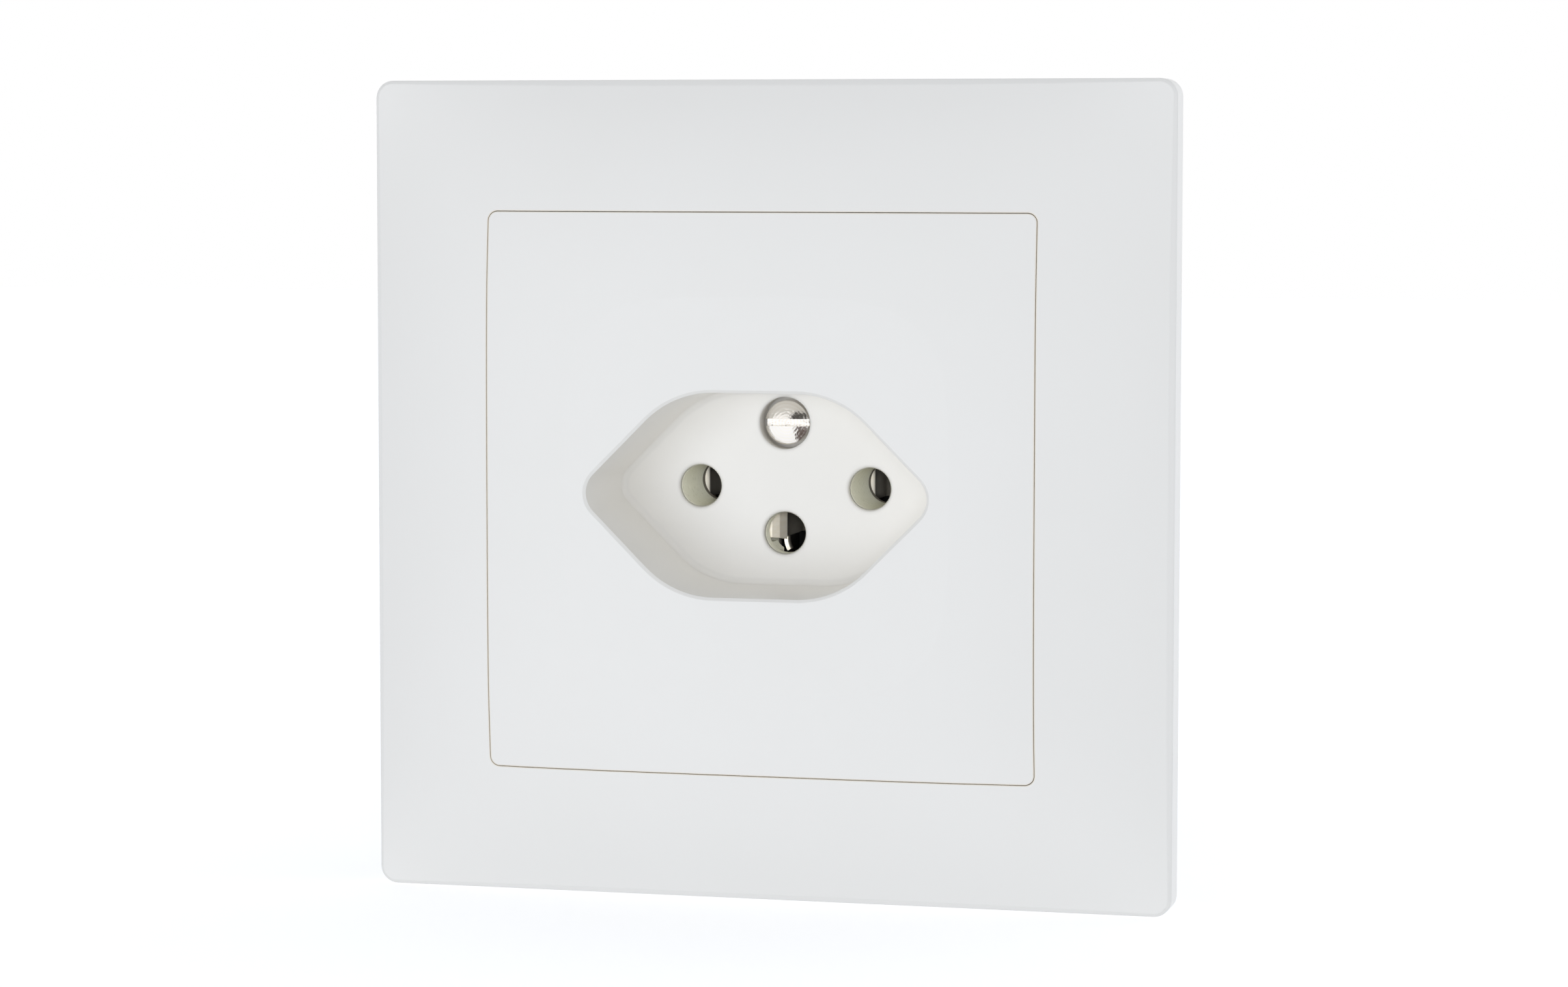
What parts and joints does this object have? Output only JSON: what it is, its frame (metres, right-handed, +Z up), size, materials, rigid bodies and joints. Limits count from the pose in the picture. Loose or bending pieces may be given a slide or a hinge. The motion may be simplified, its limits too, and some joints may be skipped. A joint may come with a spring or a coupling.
{
  "type": "flush wall socket",
  "caption": "Square flush wall socket with a white cover frame and front plate that form one cushion-shaped face, and a hexagonal plug recess with round pin holes.",
  "frame": {"origin": "centre of the mounting plate's back face, on the wall plane and on the middle of the plug recess", "axes": "+X to the right seen from the room, +Y into the wall, +Z up; the face looks along -Y"},
  "size_m": [0.088, 0.0372, 0.088],
  "materials": {
    "white_plastic": "satin white moulding",
    "insert_plastic": "light olive-grey thermoset",
    "base_plastic": "dark grey thermoset",
    "hard_paper": "dark insulating sheet",
    "nickel_plate": "nickel plated",
    "brass": "plain turned",
    "zinc_steel": "galvanised"
  },
  "bodies": {
    "root": {"cover_frame": "white_plastic", "front_plate": "white_plastic", "contact_cover": "insert_plastic", "socket_base": "base_plastic", "contact_retainer": "hard_paper", "fixing_screw": "nickel_plate", "line_contact": "nickel_plate", "neutral_contact": "nickel_plate", "earth_contact": "nickel_plate", "threaded_bush": "brass", "line_terminal": "brass", "neutral_terminal": "brass", "earth_terminal": "brass", "mounting_plate": "zinc_steel", "line_screw": "zinc_steel", "neutral_screw": "zinc_steel", "earth_screw": "zinc_steel", "line_clamp": "zinc_steel", "neutral_clamp": "zinc_steel", "earth_clamp": "zinc_steel"}
  },
  "joints": []
}
